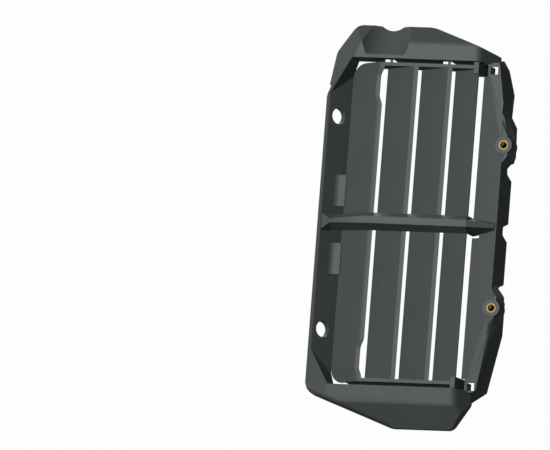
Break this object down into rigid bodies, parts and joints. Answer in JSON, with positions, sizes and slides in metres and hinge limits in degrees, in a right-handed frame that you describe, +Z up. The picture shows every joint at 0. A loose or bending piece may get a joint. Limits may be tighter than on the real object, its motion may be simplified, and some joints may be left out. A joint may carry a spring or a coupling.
{
  "type": "motorcycle radiator guard",
  "caption": "Moulded plastic radiator guard: a frame with drafted caps, a hose scoop, a funnel wall and a mid rib, holding a clip-in louvre of slanted slats and brass thread inserts.",
  "frame": {"origin": "midway between the two threaded brass inserts, on the faces of their bosses", "axes": "+Z up along the long side, -Y out of the front towards the oncoming air, +X outboard"},
  "size_m": [0.148, 0.0412, 0.3055],
  "materials": {
    "frame_plastic": "fine moulded grain, dark slate grey",
    "louvre_plastic": "fine moulded grain, dark slate grey",
    "insert_brass": "turned, slightly dull"
  },
  "bodies": {
    "root": {"guard_frame": "frame_plastic", "louvre_panel": "louvre_plastic", "upper_thread_insert": "insert_brass", "lower_thread_insert": "insert_brass"}
  },
  "joints": []
}
